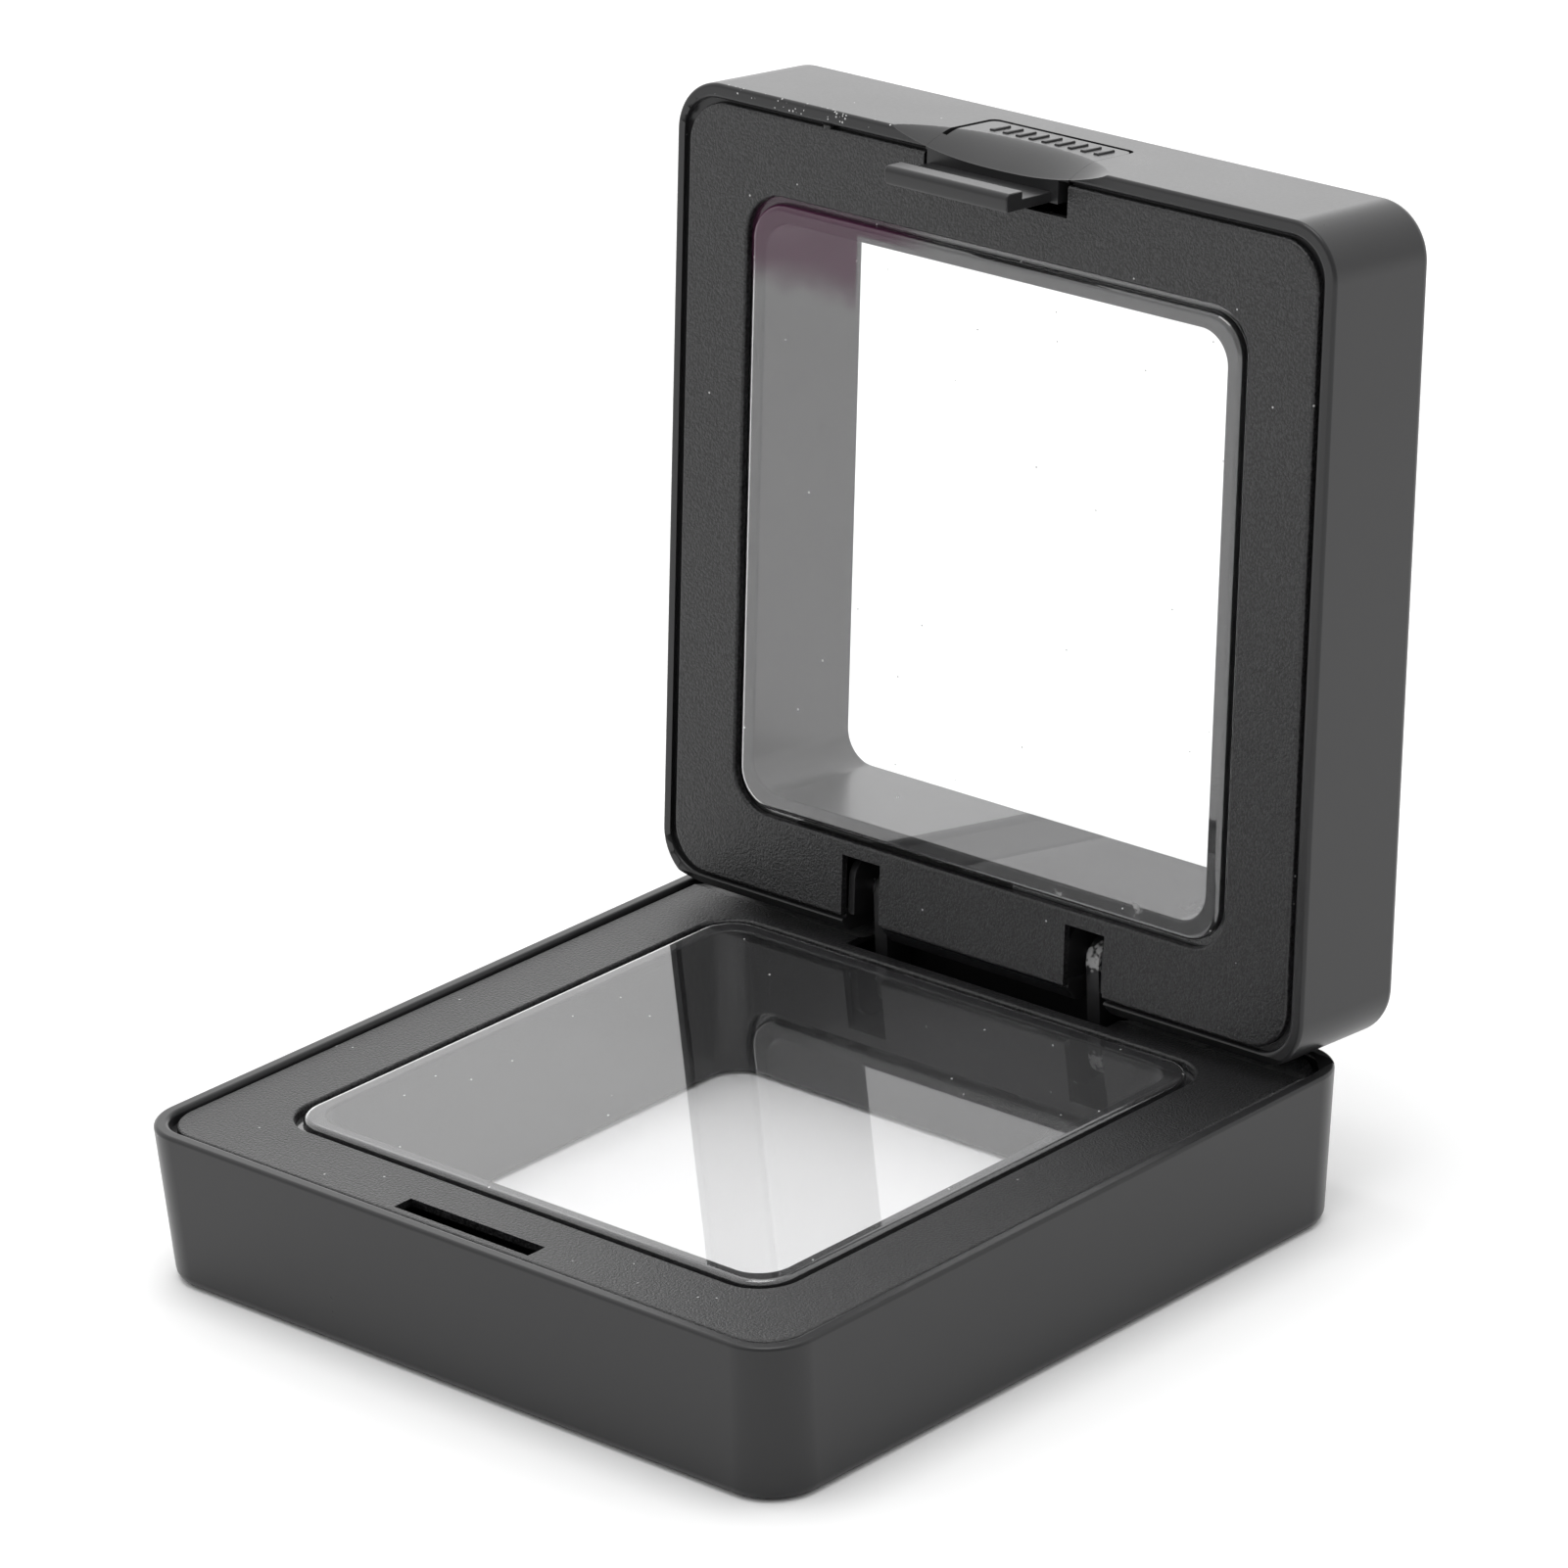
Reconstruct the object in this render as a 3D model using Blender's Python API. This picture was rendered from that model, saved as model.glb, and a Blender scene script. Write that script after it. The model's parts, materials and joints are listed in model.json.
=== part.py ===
"""Floating display box: two square halves on a rear hinge, each with a clear film drawn over a ring inside
a retaining frame, and a push latch set in a window of the lid's front wall. Metres, +Z up, lid open."""

import math

import bmesh
import bpy
from mathutils import Matrix, Vector

# The two halves, outside
box_side = 0.0750
base_height = 0.0145
lid_height = 0.0133
parting_gap = 0.00025
corner_radius = 0.0049
base_draft = 0.0008
lid_draft = 0.00025
outer_edge_radius = 0.0011
rim_edge_radius = 0.00035

# Walls inside each half
rim_width = 0.0014
ledge_width = 0.0008
floor_thickness = 0.0016
well_inset = 0.0111
well_radius = 0.0030
film_flange = 0.0020
film_flange_thickness = 0.0012
well_mouth_chamfer = 0.0006

# Retaining frame and film
groove_gap = 0.00025
base_frame_recess = 0.0003
lid_frame_rise = 0.00012
frame_thickness = 0.0007
frame_corner_radius = 0.0041
frame_edge_radius = 0.00025
window_inset = 0.00885
window_radius = 0.0040
window_edge_radius = 0.0004
film_thickness = 0.00012
base_film_recess = 0.0001
lid_film_rise = 0.0003
film_crown_inset = 0.0095
film_crown_radius = 0.0036
film_fold_radius = 0.00055
film_inset = 0.0078
film_radius = 0.0050
seat_gap = 0.00006

# Hinge
open_angle = math.radians(95.2)
axis_inset = 0.00375
axis_rise = 0.0040
arm_offset = 0.0125
arm_thickness = 0.0015
arm_head_radius = 0.0022
arm_stem_back = 0.0009
pin_radius = 0.0008
pin_press_gap = 0.00002
pin_running_gap = 0.00006
pin_end_radius = 0.0002
pin_end_cover = 0.0002
hinge_slot_offset = 0.0131
hinge_slot_width = 0.0045
hinge_slot_reach = 0.0075
hinge_slot_clearance = 0.00025
cheek_thickness = 0.0007
cheek_inset = 0.00015
cheek_front_gap = 0.0006
cheek_corner_radius = 0.0018
hinge_chamfer = 0.0012
relief_clearance = 0.0002
relief_end_margin = 0.0013
socket_rib_thickness = 0.0008
socket_rib_height = 0.0034
socket_rib_depth = 0.0042

# Push latch and its catch
latch_window_width = 0.0155
latch_left_gap = 0.00055
latch_right_gap = 0.00008
latch_back_gap = 0.0004
tongue_height = 0.00835
tongue_corner_radius = 0.0008
scoop_shoulder = 0.00405
scoop_rise = 0.0033
scoop_depth = 0.0017
hook_side_inset = 0.0001
hook_reach = 0.0058
hook_stem_thickness = 0.00095
hook_barb = 0.0007
hook_barb_height = 0.0009
hook_edge_radius = 0.0002
latch_web_height = 0.0030
hook_notch_margin = 0.00035
catch_inset = 0.00245
catch_slot_margin = 0.0001
catch_slot_depth = 0.00205
catch_lip_height = 0.0033
catch_clearance = 0.0001
catch_pocket_depth = 0.0009
catch_pocket_height = 0.0042

overrun = 0.0010
corner_steps = 7
edge_steps = 3
round_steps = 32
scoop_steps = 160

# Places worked out from the sizes, with the box closed and centred on the base
half = box_side / 2
well_half = half - well_inset
window_half = half - window_inset
film_half = half - film_inset
film_crown_half = half - film_crown_inset
ring_half = film_crown_half - film_thickness - seat_gap
ring_radius = film_crown_radius - film_thickness - seat_gap
ring_edge_radius = film_fold_radius - film_thickness - seat_gap
lid_bottom = base_height + parting_gap
lid_top = lid_bottom + lid_height
axis_y = half - axis_inset
axis_z = lid_bottom + axis_rise
trough_outer = half - rim_width - ledge_width
trough_inner = ring_half + film_flange
frame_half = half - rim_width - groove_gap
slot_inner_x = hinge_slot_offset - hinge_slot_width / 2
slot_outer_x = hinge_slot_offset + hinge_slot_width / 2
slot_front_y = half - hinge_slot_reach
slot_top_z = axis_z + arm_head_radius + hinge_slot_clearance
catch_front_y = catch_inset - half
catch_back_y = catch_front_y + catch_slot_depth
catch_half_width = latch_window_width / 2 + catch_slot_margin
latch_left_x = latch_left_gap - latch_window_width / 2
latch_right_x = latch_window_width / 2 - latch_right_gap
hook_left_x = latch_left_x + hook_side_inset
hook_right_x = latch_right_x - hook_side_inset
stem_front_y = catch_front_y + catch_clearance
stem_back_y = stem_front_y + hook_stem_thickness
lip_bottom_z = base_height - catch_lip_height


class Half:
    """One half's levels, each drop measured from its open face into it."""

    def __init__(self, z_parting, z_outer, draft, frame_drop, film_drop):
        self.z_parting = z_parting
        self.z_outer = z_outer
        self.draft = draft
        self.inward = 1 if z_outer > z_parting else -1
        self.frame_drop = frame_drop
        self.ledge_drop = frame_drop + frame_thickness + seat_gap
        self.film_drop = film_drop
        self.ring_drop = film_drop + film_thickness + seat_gap
        self.seat_drop = self.ledge_drop + film_thickness + seat_gap

    def level(self, drop):
        return self.z_parting + self.inward * drop


base_half = Half(base_height, 0, base_draft, base_frame_recess, base_film_recess)
lid_half = Half(lid_bottom, lid_top, lid_draft, -lid_frame_rise, -lid_film_rise)


def reset_scene():
    for item in list(bpy.data.objects):
        bpy.data.objects.remove(item, do_unlink=True)
    for name in ("floating_display_box", "cutters"):
        group = bpy.data.collections.get(name) or bpy.data.collections.new(name)
        if name not in bpy.context.scene.collection.children:
            bpy.context.scene.collection.children.link(group)


def make_material(name, colour, roughness, metallic=0.0, transmission=0.0):
    material = bpy.data.materials.new(name)
    material.use_nodes = True
    shader = material.node_tree.nodes["Principled BSDF"]
    shader.inputs["Base Color"].default_value = (*colour, 1.0)
    shader.inputs["Roughness"].default_value = roughness
    shader.inputs["Metallic"].default_value = metallic
    shader.inputs["Transmission Weight"].default_value = transmission
    return material


def object_from(name, shape, group, material=None):
    mesh = bpy.data.meshes.new(name)
    shape.to_mesh(mesh)
    shape.free()
    made = bpy.data.objects.new(name, mesh)
    bpy.data.collections[group].objects.link(made)
    if material:
        mesh.materials.append(material)
        mesh.shade_smooth()
        mesh.set_sharp_from_angle(angle=math.radians(30))
    else:
        made.display_type = "WIRE"
        made.hide_render = True
    return made


def block(low, high):
    """A box between two corners."""
    shape = bmesh.new()
    bmesh.ops.create_cube(shape, size=1.0)
    low, high = Vector(low), Vector(high)
    size = high - low
    bmesh.ops.scale(shape, vec=size, verts=shape.verts)
    bmesh.ops.translate(shape, vec=(low + high) / 2, verts=shape.verts)
    return shape


def bevel_edges(shape, chosen, radius, steps):
    if radius > 0:
        bmesh.ops.bevel(shape, geom=chosen, offset=radius, offset_type="OFFSET", affect="EDGES",
                        segments=steps, profile=0.5, clamp_overlap=True)


def upright_edges(shape):
    return [edge for edge in shape.edges
            if abs(edge.verts[0].co.z - edge.verts[1].co.z) > edge.calc_length() / 2]


def edges_at(shape, z):
    nearest = min(shape.verts, key=lambda vert: abs(vert.co.z - z)).co.z
    return edges_where(shape, lambda place: abs(place.z - nearest) < seat_gap / 4)


def prism(half_x, half_y, z_low, z_high, radius, steps=corner_steps):
    """An upright rounded square block, centred on the box's own axis."""
    shape = block((-half_x, -half_y, z_low), (half_x, half_y, z_high))
    bevel_edges(shape, upright_edges(shape), radius, steps)
    return shape


def drafted_block(z_parting, z_outer, draft):
    """The outside of one half: rounded corners, walls that lean in towards the outer face, soft edges."""
    shape = block((-half, -half, min(z_parting, z_outer)), (half, half, max(z_parting, z_outer)))
    share = (half - draft) / half
    for vert in shape.verts:
        if abs(vert.co.z - z_outer) < abs(vert.co.z - z_parting):
            vert.co.x *= share
            vert.co.y *= share
    bevel_edges(shape, upright_edges(shape), corner_radius, corner_steps)
    bevel_edges(shape, edges_at(shape, z_outer), outer_edge_radius, edge_steps)
    bevel_edges(shape, edges_at(shape, z_parting), rim_edge_radius, 2)
    return shape


def edges_where(shape, test):
    return [edge for edge in shape.edges if all(test(vert.co) for vert in edge.verts)]


def rod_along_x(x_low, x_high, y, z, radius, steps=round_steps):
    shape = bmesh.new()
    bmesh.ops.create_cone(shape, cap_ends=True, segments=steps, radius1=radius, radius2=radius,
                          depth=x_high - x_low)
    turn = Matrix.Rotation(math.pi / 2, 4, "Y")
    shift = Matrix.Translation(((x_low + x_high) / 2, y, z))
    bmesh.ops.transform(shape, matrix=shift @ turn, verts=shape.verts)
    return shape


def chamfer_ring(mouth_half, radius, z_face, inward, size):
    """A block that widens a square opening by a chamfer at its face."""
    wide = mouth_half + size
    shape = prism(wide, wide, *sorted((z_face - inward * overrun, z_face + inward * size)), radius + size)
    bevel_edges(shape, edges_at(shape, z_face + inward * size), size, 1)
    return shape


def combine(target, shape, operation, name):
    tool = object_from(f"{target.name}_{name}", shape, "cutters")
    step = target.modifiers.new(name, "BOOLEAN")
    step.operation = operation
    step.solver = "EXACT"
    step.object = tool
    return tool


def cut(target, shape, name):
    return combine(target, shape, "DIFFERENCE", name)


def join(target, shape, name):
    return combine(target, shape, "UNION", name)


def half_shell(name, side, material):
    """One moulded half: a drafted tray with a square well through it, a trough round the well, and the
    well's wall raised into a ring that the film is drawn over."""
    inward = side.inward
    body = drafted_block(side.z_parting, side.z_outer, side.draft)
    shell = object_from(name, body, "floating_display_box", material)
    outside = side.level(-overrun)

    def span(drop):
        return sorted((outside, side.level(drop)))

    pocket_half = half - rim_width
    pocket = prism(pocket_half, pocket_half, *span(side.ledge_drop), corner_radius - rim_width)
    cut(shell, pocket, "frame pocket")
    seat_half = (trough_inner + trough_outer) / 2
    cut(shell, prism(seat_half, seat_half, *span(side.seat_drop), film_radius), "film seat")
    trough_span = span(abs(side.z_outer - side.z_parting) - floor_thickness)
    trough_radius = corner_radius - rim_width - ledge_width
    trough = cut(shell, prism(trough_outer, trough_outer, *trough_span, trough_radius), "trough")
    core_span = (trough_span[0] - overrun, trough_span[1] + overrun)
    cut(trough, prism(ring_half, ring_half, *core_span, ring_radius), "core")
    flange_drop = side.seat_drop + film_flange_thickness
    flange_span = sorted((side.level(-2 * overrun), side.level(flange_drop)))
    cut(trough, prism(trough_inner, trough_inner, *flange_span, film_radius), "flange")
    ring_span = sorted((side.level(side.ring_drop), side.level((side.seat_drop + flange_drop) / 2)))
    ring = prism(ring_half, ring_half, *ring_span, ring_radius)
    bevel_edges(ring, edges_at(ring, side.level(side.ring_drop)), ring_edge_radius, edge_steps)
    join(shell, ring, "film ring")
    well_span = (min(side.z_parting, side.z_outer) - overrun, max(side.z_parting, side.z_outer) + overrun)
    cut(shell, prism(well_half, well_half, *well_span, well_radius), "well")
    mouth = chamfer_ring(well_half, well_radius, side.z_outer, -inward, well_mouth_chamfer)
    cut(shell, mouth, "well mouth")
    return shell


def retaining_frame(name, side, material):
    """The flat frame that sits in the rim and holds the film down."""
    inward = side.inward
    z_face = side.level(side.frame_drop)
    z_back = side.level(side.frame_drop + frame_thickness)
    shape = prism(frame_half, frame_half, *sorted((z_face, z_back)), frame_corner_radius)
    bevel_edges(shape, edges_at(shape, z_face), frame_edge_radius, 2)
    plate = object_from(name, shape, "floating_display_box", material)
    window_span = sorted((z_face - inward * overrun, z_back + inward * overrun))
    cut(plate, prism(window_half, window_half, *window_span, window_radius), "window")
    rim = chamfer_ring(window_half, window_radius, z_face, inward, window_edge_radius)
    cut(plate, rim, "window edge")
    return plate


def draped_block(side, crown_half, radius, fold_radius, top_drop, foot_drop):
    """A rounded square block whose top edge is rounded like a sheet drawn over a ring."""
    top = side.level(top_drop)
    shape = prism(crown_half, crown_half, *sorted((top, side.level(foot_drop))), radius)
    bevel_edges(shape, edges_at(shape, top), fold_radius, edge_steps)
    return shape


def film(name, side, material):
    """The clear sheet: flat across the ring, folded down outside it and held by its border."""
    border_top = side.ledge_drop
    border_foot = border_top + film_thickness
    border_span = sorted((side.level(border_top), side.level(border_foot)))
    border = prism(film_half, film_half, *border_span, film_radius)
    sheet = object_from(name, border, "floating_display_box", material)
    middle = (border_top + border_foot) / 2
    crown = draped_block(side, film_crown_half, film_crown_radius, film_fold_radius, side.film_drop, middle)
    join(sheet, crown, "crown")
    inner = (film_crown_half - film_thickness, film_crown_radius - film_thickness)
    hollow = draped_block(side, *inner, film_fold_radius - film_thickness, side.film_drop + film_thickness,
                          border_foot + overrun)
    cut(sheet, hollow, "hollow")
    return sheet


def add_catch(shell):
    """The lip that the hook snaps under, and the pocket below it that its barb lies in."""
    reach = catch_half_width + socket_rib_thickness
    lip_high = (reach, catch_front_y, base_half.level(base_half.ledge_drop + seat_gap))
    join(shell, block((-reach, rim_width / 2 - half, lip_bottom_z), lip_high), "catch lip")
    pocket_low_z = lip_bottom_z - catch_pocket_height
    pocket_low = (-catch_half_width, catch_front_y - catch_pocket_depth, pocket_low_z)
    pocket_high = (catch_half_width, catch_front_y + overrun, lip_bottom_z)
    cut(shell, block(pocket_low, pocket_high), "barb pocket")


def relief_radius():
    """How far the lid's chamfered rear edge reaches from the hinge axis, with its clearance."""
    lower = math.hypot(axis_inset - hinge_chamfer, axis_rise)
    upper = math.hypot(axis_inset, axis_rise - hinge_chamfer)
    return max(lower, upper) + relief_clearance


def hinge_relief():
    reach = half - relief_end_margin
    return rod_along_x(-reach, reach, axis_y, axis_z, relief_radius(), 2 * round_steps)


def add_sockets(shell):
    """Ribs on the trough's floor that hold each hinge arm's foot."""
    for side in (-1, 1):
        for face in (-1, 1):
            near = arm_offset + face * (arm_thickness / 2 + seat_gap)
            far = near + face * socket_rib_thickness
            xs = sorted((side * near, side * far))
            low = (xs[0], trough_outer - socket_rib_depth, floor_thickness - seat_gap)
            high = (xs[1], trough_outer + ledge_width / 2, floor_thickness + socket_rib_height)
            join(shell, block(low, high), f"socket rib {side}{face}")


def frame_slot(plate, x_low, x_high, y_low, y_high, name):
    z_low = min(vert.co.z for vert in plate.data.vertices) - overrun
    z_high = max(vert.co.z for vert in plate.data.vertices) + overrun
    cut(plate, block((x_low, y_low, z_low), (x_high, y_high, z_high)), name)


def hinge_arm(name, side, material):
    """An upright arm in the base with a round head on the hinge axis."""
    x_low = side * arm_offset - arm_thickness / 2
    x_high = x_low + arm_thickness
    foot = floor_thickness + seat_gap
    stem = block((x_low, axis_y - arm_head_radius, foot), (x_high, axis_y + arm_stem_back, axis_z))
    arm = object_from(name, stem, "floating_display_box", material)
    margin = arm_thickness / 2
    head = rod_along_x(x_low, x_high, axis_y, axis_z, arm_head_radius)
    join(arm, head, "head")
    bore = rod_along_x(x_low - margin, x_high + margin, axis_y, axis_z, pin_radius + pin_press_gap)
    cut(arm, bore, "pin hole")
    return arm


def hinge_pin(name, side, material):
    x_near = slot_inner_x - cheek_inset - cheek_thickness + pin_end_cover
    x_far = slot_outer_x - cheek_inset - pin_end_cover
    x_low, x_high = sorted((side * x_near, side * x_far))
    shape = rod_along_x(x_low, x_high, axis_y, axis_z, pin_radius)
    rings = [edge for edge in shape.edges
             if abs(edge.verts[0].co.x - edge.verts[1].co.x) < pin_end_radius / 2]
    bevel_edges(shape, rings, pin_end_radius, 2)
    return object_from(name, shape, "floating_display_box", material)


def cheek(x_low, x_high):
    """A rib inside the lid that bears on the pin, with its corner by the slot rounded."""
    low = (x_low, slot_front_y + cheek_front_gap, lid_half.level(lid_half.ledge_drop + seat_gap))
    high = (x_high, trough_outer + ledge_width / 2, lid_top - floor_thickness / 2)
    shape = block(low, high)
    corner = edges_where(shape, lambda place: max(abs(place.y - low[1]), abs(place.z - low[2])) < seat_gap)
    bevel_edges(shape, corner, cheek_corner_radius, corner_steps)
    return shape


def add_hinge_to_lid(shell):
    edge_z = lid_bottom
    depth = hinge_chamfer / math.sqrt(2)
    chamfer = block((-half - overrun, -2 * depth, -depth), (half + overrun, 2 * depth, depth))
    lean = Matrix.Translation((0, half, edge_z)) @ Matrix.Rotation(math.pi / 4, 4, "X")
    bmesh.ops.transform(chamfer, matrix=lean, verts=chamfer.verts)
    cut(shell, chamfer, "hinge edge chamfer")
    for side in (-1, 1):
        xs = sorted((side * slot_inner_x, side * slot_outer_x))
        slot_low = (xs[0], trough_outer - overrun, lid_bottom - overrun)
        cut(shell, block(slot_low, (xs[1], half + overrun, slot_top_z)), f"hinge slot {side}")
        outer = slot_outer_x - cheek_inset
        inner = slot_inner_x - cheek_inset
        for place, near in (("outer", outer), ("inner", inner)):
            xs = sorted((side * near, side * (near - cheek_thickness)))
            join(shell, cheek(*xs), f"{place} cheek {side}")
        middle = side * hinge_slot_offset
        bore_radius = pin_radius + pin_running_gap
        bore = rod_along_x(middle - hinge_slot_width, middle + hinge_slot_width, axis_y, axis_z, bore_radius)
        cut(shell, bore, f"pin bore {side}")


def finger_scoop():
    """A long shallow cylinder that leans from the front wall to the lid's open edge."""
    run = math.hypot(scoop_depth, scoop_rise)
    sagitta = scoop_depth * scoop_rise / run
    reach = latch_window_width / 2 + scoop_shoulder
    radius = (reach ** 2 + sagitta ** 2) / (2 * sagitta)
    shape = bmesh.new()
    bmesh.ops.create_cone(shape, cap_ends=True, segments=scoop_steps, radius1=radius, radius2=radius,
                          depth=4 * run)
    along = Vector((0, scoop_depth, -scoop_rise)).normalized()
    outward = Vector((0, -scoop_rise, -scoop_depth)).normalized()
    middle = Vector((0, -half + scoop_depth / 2, lid_bottom + scoop_rise / 2))
    across = outward.cross(along)
    turn = Matrix((across, outward, along)).transposed().to_4x4()
    shift = Matrix.Translation(middle + outward * radius)
    bmesh.ops.transform(shape, matrix=shift @ turn, verts=shape.verts)
    return shape


def tongue_block(x_low, x_high, y_high, z_high, radius):
    """A block through the front wall from the lid's open edge up, with its two upper corners rounded."""
    shape = block((x_low, -half - overrun, lid_bottom - overrun), (x_high, y_high, z_high))
    top = min(shape.verts, key=lambda vert: -vert.co.z).co.z
    corners = [edge for edge in edges_where(shape, lambda place: abs(place.z - top) < seat_gap)
               if abs(edge.verts[0].co.x - edge.verts[1].co.x) < seat_gap]
    bevel_edges(shape, corners, radius, corner_steps)
    return shape


def open_tongue_window(shell):
    side_x = latch_window_width / 2
    top_z = lid_bottom + tongue_height + latch_back_gap
    window = tongue_block(-side_x, side_x, overrun - trough_outer, top_z, tongue_corner_radius)
    cut(shell, window, "tongue window")
    cut(shell, finger_scoop(), "finger scoop")


def hook_barb_block(tip_z, top_z):
    """The outward barb: a flat catch face on top, a short front and a ramp down to the tip."""
    front_y = stem_front_y - hook_barb
    shape = block((hook_left_x, front_y, tip_z), (hook_right_x, stem_back_y, top_z))
    ramp_z = top_z - hook_barb_height
    for vert in shape.verts:
        if abs(vert.co.z - tip_z) < seat_gap and abs(vert.co.y - front_y) < seat_gap:
            vert.co.z = ramp_z
    rounded = edges_where(shape, lambda place: place.z < ramp_z + seat_gap)
    lengthwise = [edge for edge in rounded if abs(edge.verts[0].co.x - edge.verts[1].co.x) > seat_gap]
    bevel_edges(shape, lengthwise, hook_edge_radius, edge_steps)
    return shape


def push_latch(name, material):
    """The push piece in the front wall, with its share of the finger scoop, and the hook that it carries."""
    wall = drafted_block(lid_bottom, lid_top, lid_draft)
    latch = object_from(name, wall, "floating_display_box", material)
    top_z = lid_bottom + tongue_height
    tongue = tongue_block(latch_left_x, latch_right_x, rim_width - half, top_z, tongue_corner_radius)
    combine(latch, tongue, "INTERSECT", "tongue")
    web_low = (latch_left_x, rim_width / 2 - half, lid_bottom)
    join(latch, block(web_low, (latch_right_x, stem_back_y, lid_bottom + latch_web_height)), "web")
    cut(latch, finger_scoop(), "finger scoop")
    tip_z = lid_bottom - hook_reach
    barb_top_z = lip_bottom_z - catch_clearance
    stem_low = (hook_left_x, stem_front_y, barb_top_z - hook_barb_height / 2)
    stem_high = (hook_right_x, stem_back_y, lid_bottom + latch_web_height / 2)
    join(latch, block(stem_low, stem_high), "stem")
    join(latch, hook_barb_block(tip_z, barb_top_z), "barb")
    return latch


def make_materials():
    black = make_material("satin_black_plastic", (0.028, 0.028, 0.030), 0.42)
    matte = make_material("matte_black_plastic", (0.034, 0.034, 0.036), 0.62)
    clear = make_material("clear_film", (0.95, 0.96, 0.97), 0.05, transmission=1.0)
    steel = make_material("bright_steel", (0.62, 0.62, 0.64), 0.28, metallic=1.0)
    return black, matte, clear, steel


def make_base(black, matte, clear, steel):
    shell = half_shell("base_shell", base_half, black)
    add_catch(shell)
    add_sockets(shell)
    cut(shell, hinge_relief(), "hinge relief")
    plate = retaining_frame("base_retaining_frame", base_half, matte)
    frame_slot(plate, -slot_outer_x, slot_outer_x, slot_front_y, half, "hinge recess")
    frame_slot(plate, -catch_half_width, catch_half_width, catch_front_y, catch_back_y, "catch slot")
    cut(plate, hinge_relief(), "hinge relief")
    clear_film = film("base_film", base_half, clear)
    arms = [hinge_arm("hinge_arm_left", -1, black), hinge_arm("hinge_arm_right", 1, black)]
    pins = [hinge_pin("hinge_pin_left", -1, steel), hinge_pin("hinge_pin_right", 1, steel)]
    return [shell, plate, clear_film, *arms, *pins]


def make_lid(black, matte, clear):
    shell = half_shell("lid_shell", lid_half, black)
    add_hinge_to_lid(shell)
    open_tongue_window(shell)
    plate = retaining_frame("lid_retaining_frame", lid_half, matte)
    for side in (-1, 1):
        xs = sorted((side * slot_inner_x, side * slot_outer_x))
        frame_slot(plate, *xs, slot_front_y, half, f"hinge slot {side}")
    notch_x = latch_window_width / 2 + hook_notch_margin
    frame_slot(plate, -notch_x, notch_x, -half, catch_back_y, "hook notch")
    return [shell, plate, film("lid_film", lid_half, clear)]


def empty_at(name, place, parent=None):
    empty = bpy.data.objects.new(name, None)
    empty.empty_display_size = corner_radius
    bpy.data.collections["floating_display_box"].objects.link(empty)
    empty.parent = parent
    empty.location = place
    return empty


def hang(piece, parent, origin):
    """Parents a piece drawn in the closed box's coordinates, and its cutters, to an empty at a place."""
    piece.parent = parent
    piece.matrix_parent_inverse = Matrix.Translation(-Vector(origin))
    for step in piece.modifiers:
        hang(step.object, parent, origin)


def depth_range():
    """The least and greatest Y of everything that isn't a cutter."""
    bpy.context.view_layer.update()
    graph = bpy.context.evaluated_depsgraph_get()
    ys = []
    for item in bpy.data.collections["floating_display_box"].objects:
        if item.type == "MESH":
            ready = item.evaluated_get(graph)
            ys += [(ready.matrix_world @ vert.co).y for vert in ready.data.vertices]
    return min(ys), max(ys)


def main():
    reset_scene()
    black, matte, clear, steel = make_materials()
    stand = empty_at("box_stand", (0, 0, 0))
    axis_place = (0, axis_y, axis_z)
    hinge = empty_at("lid_hinge_axis", axis_place, stand)
    hinge.rotation_euler.x = -open_angle
    press_place = (0, -half, lid_bottom)
    press = empty_at("latch_press", Vector(press_place) - Vector(axis_place), hinge)
    for piece in make_base(black, matte, clear, steel):
        hang(piece, stand, (0, 0, 0))
    for piece in make_lid(black, matte, clear):
        hang(piece, hinge, axis_place)
    hang(push_latch("push_latch", black), press, press_place)
    front, back = depth_range()
    stand.location.y = -(front + back) / 2
    bpy.context.view_layer.update()
    print(f"stand moved by {stand.location.y:.6f} m")


main()
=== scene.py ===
import json
import math

import bmesh
import bpy
from mathutils import Matrix, Vector


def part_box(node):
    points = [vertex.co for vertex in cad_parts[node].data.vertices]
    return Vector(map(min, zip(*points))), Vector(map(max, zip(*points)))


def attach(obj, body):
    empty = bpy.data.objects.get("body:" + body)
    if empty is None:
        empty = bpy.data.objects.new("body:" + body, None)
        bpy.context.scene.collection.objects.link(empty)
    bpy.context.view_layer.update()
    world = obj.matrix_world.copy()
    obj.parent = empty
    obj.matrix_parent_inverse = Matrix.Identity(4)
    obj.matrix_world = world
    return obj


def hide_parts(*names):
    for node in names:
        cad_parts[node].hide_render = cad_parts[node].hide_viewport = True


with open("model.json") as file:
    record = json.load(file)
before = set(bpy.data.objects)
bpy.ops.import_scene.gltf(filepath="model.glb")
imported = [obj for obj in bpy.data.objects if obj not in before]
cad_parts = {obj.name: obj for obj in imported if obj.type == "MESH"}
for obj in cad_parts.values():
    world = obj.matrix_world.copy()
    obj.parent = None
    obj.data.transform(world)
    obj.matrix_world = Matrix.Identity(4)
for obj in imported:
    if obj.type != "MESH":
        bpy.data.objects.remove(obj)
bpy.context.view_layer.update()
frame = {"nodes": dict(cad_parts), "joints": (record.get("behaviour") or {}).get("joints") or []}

pieces = {}
overrun = 0.001  # how far a cutting tool reaches past what it cuts
near = 0.0001  # how closely an edge is told from its neighbours when it is picked by place
hair = 0.0000005  # points closer than this are one point

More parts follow.
